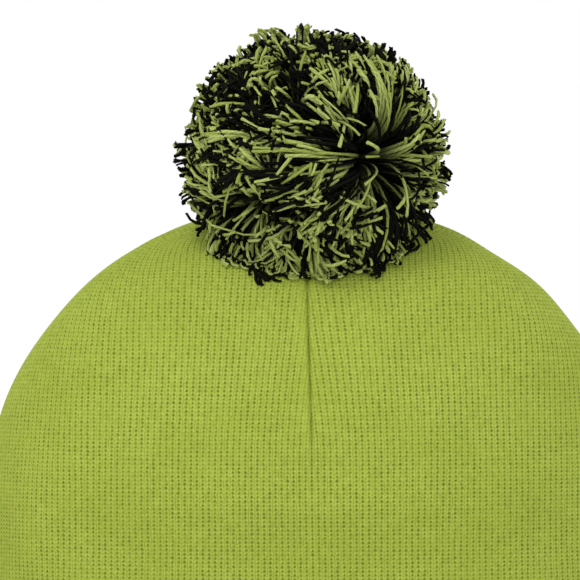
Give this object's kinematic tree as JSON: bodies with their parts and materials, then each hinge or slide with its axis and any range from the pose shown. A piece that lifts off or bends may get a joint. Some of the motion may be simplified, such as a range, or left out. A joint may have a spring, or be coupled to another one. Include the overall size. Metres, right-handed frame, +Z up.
{
  "type": "pom pom beanie",
  "caption": "Doubled rib-knit beanie with a turned-up cuff, darted crown and a two-colour cut-yarn pom tied to its gathered top.",
  "frame": {"origin": "centre of the head opening, level with the bottom of the hem fold", "axes": "+Z up through the crown, +X along the opening's long axis, -Y towards the side that the pom leans to"},
  "size_m": [0.2188, 0.1748, 0.262],
  "materials": {
    "knit": "fine rib knit of lime acrylic yarn, soft and matte",
    "lining_knit": "the same lime rib knit, seen from its back",
    "seam_thread": "lime sewing thread, matte",
    "lime_yarn": "cut plied acrylic yarn, pale lime, soft sheen",
    "black_yarn": "cut plied acrylic yarn, black, soft sheen",
    "label_tape": "blank woven satin tape",
    "label_thread": "white sewing thread"
  },
  "bodies": {
    "hat": {"crown_outer_ply": "knit", "crown_lining_ply": "lining_knit", "outer_dart_front": "seam_thread", "outer_dart_right": "seam_thread", "outer_dart_back": "seam_thread", "outer_dart_left": "seam_thread", "lining_dart_front_right": "seam_thread", "lining_dart_back_right": "seam_thread", "lining_dart_back_left": "seam_thread", "lining_dart_front_left": "seam_thread", "outer_gather_thread": "seam_thread", "lining_gather_thread": "seam_thread", "care_label_stitches": "label_thread", "pom_tie_tails": "black_yarn", "pom_tie_knot": "black_yarn"},
    "cuff": {"cuff_face_ply": "knit", "cuff_back_ply": "lining_knit", "cuff_top_fold": "knit", "hem_fold_lining": "knit", "hem_fold_face": "lining_knit"},
    "label": {"care_label": "label_tape"},
    "pom_foot": {"pom_foot_knot": "black_yarn"},
    "pom_neck": {"pom_tie_neck": "black_yarn", "pom_binding_cord": "black_yarn"},
    "pom": {"pom_yarn_lime": "lime_yarn", "pom_yarn_black": "black_yarn"}
  },
  "joints": [
    {"name": "cuff_turn_down", "type": "slide", "parent": "hat", "child": "cuff", "axis": [0, 0, -1], "range_m": [0, 0.066]},
    {"name": "label_flap", "type": "hinge", "parent": "hat", "child": "label", "pos_m": [0, 0.07533, 0.062], "axis": [-1, 0, 0], "range_deg": [0, 60]},
    {"name": "pom_nod", "type": "hinge", "parent": "hat", "child": "pom_foot", "pos_m": [0, -0.02809, 0.20264], "axis": [-1, 0, 0], "range_deg": [0, 25]},
    {"name": "pom_sway", "type": "hinge", "parent": "pom_foot", "child": "pom_neck", "pos_m": [0, -0.02809, 0.20264], "axis": [0, 0.931, 0.3649], "range_deg": [-15, 15]},
    {"name": "pom_twist", "type": "hinge", "parent": "pom_neck", "child": "pom", "pos_m": [0, -0.03474, 0.21959], "axis": [0, -0.3649, 0.931], "range_deg": [-30, 30]}
  ]
}
